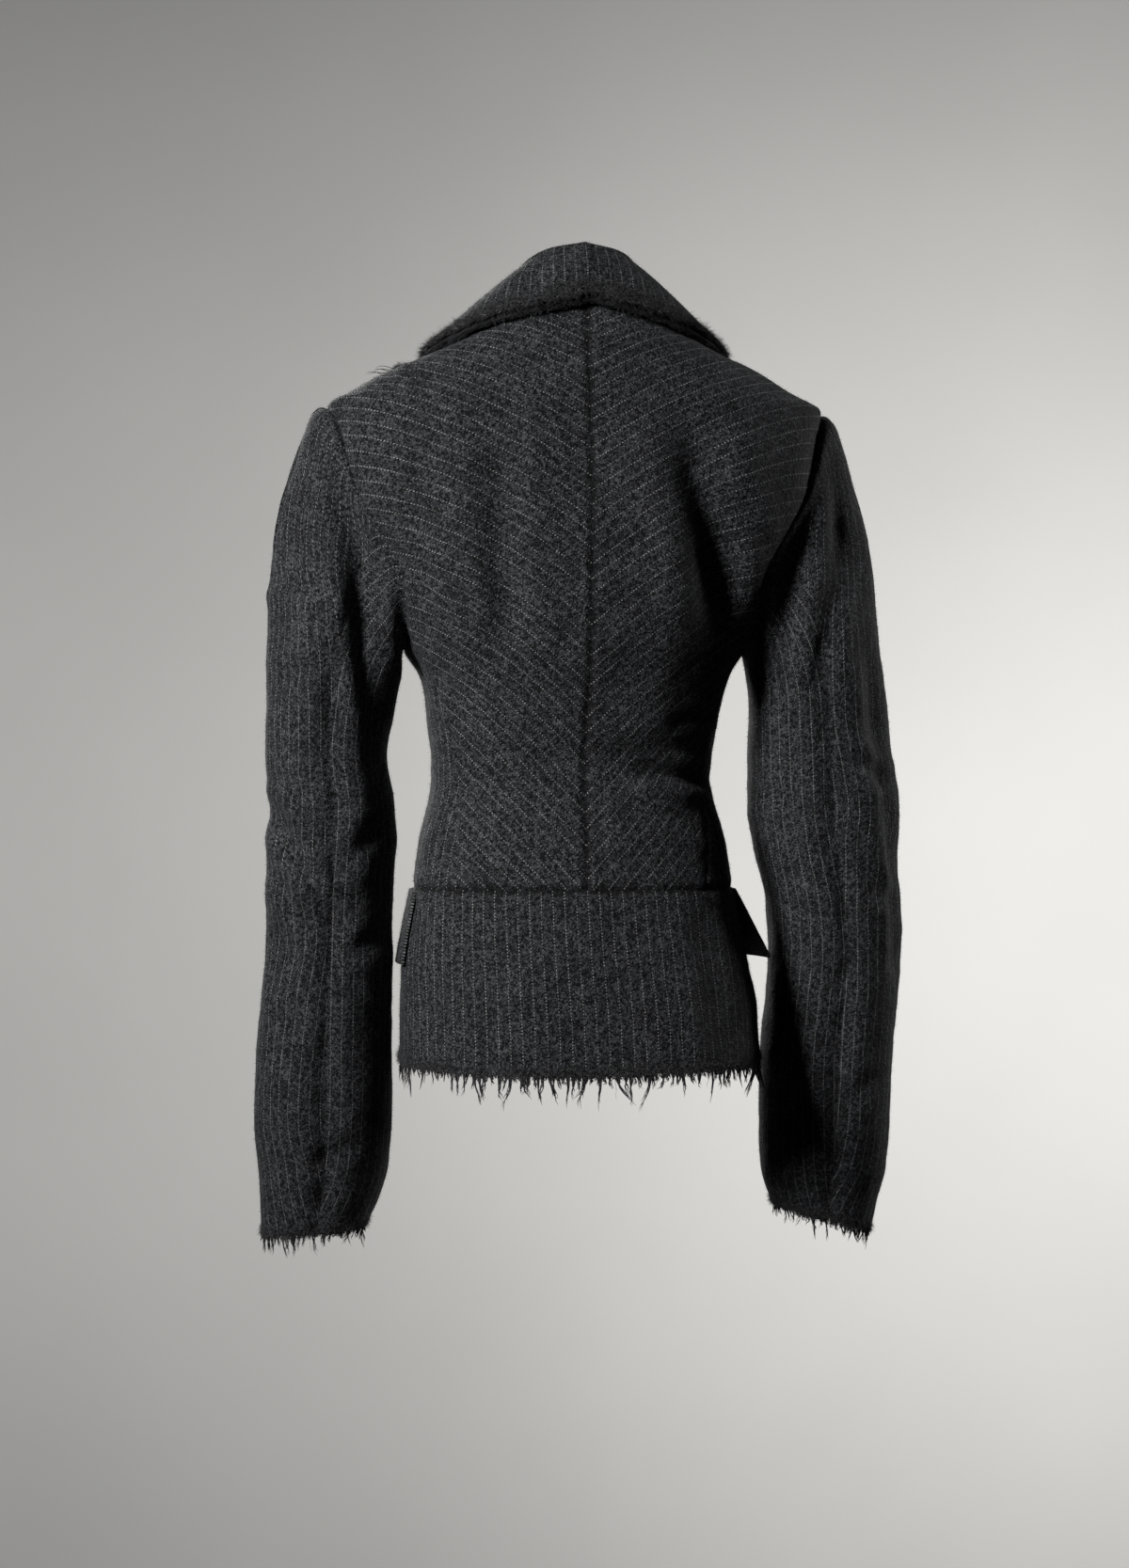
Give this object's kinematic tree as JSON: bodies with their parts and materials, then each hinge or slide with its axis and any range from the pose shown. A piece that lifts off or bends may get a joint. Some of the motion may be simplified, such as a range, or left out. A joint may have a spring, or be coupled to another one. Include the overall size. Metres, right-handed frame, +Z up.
{
  "type": "wool flannel jacket",
  "caption": "Fitted pinstriped flannel jacket in its hollow worn form, with chevron back, peplum, hip flaps, notched collar, long two-piece sleeves and raw fringed edges.",
  "frame": {"origin": "point between the shoulders at the level of the nape, where the wearer carries the jacket", "axes": "+Z up, along the jacket's length; the front faces -Y and the wearer's left is +X"},
  "size_m": [0.5401, 0.2644, 0.8287],
  "materials": {
    "wool": "matte",
    "thread": "matte",
    "horn": "satin"
  },
  "bodies": {
    "root": {"back_left": "wool", "back_right": "wool", "side_left": "wool", "side_right": "wool", "front_left": "wool", "front_right": "wool", "lapel_left": "wool", "lapel_right": "wool", "collar": "wool", "peplum_back": "wool", "peplum_front_left": "wool", "peplum_front_right": "wool", "flap_left": "wool", "flap_right": "wool", "sleeve_upper_left": "wool", "sleeve_under_left": "wool", "sleeve_upper_right": "wool", "sleeve_under_right": "wool", "hem_fringe": "thread", "cuff_fringe_left": "thread", "cuff_fringe_right": "thread", "button_1": "horn", "button_2": "horn", "button_3": "horn"}
  },
  "joints": []
}
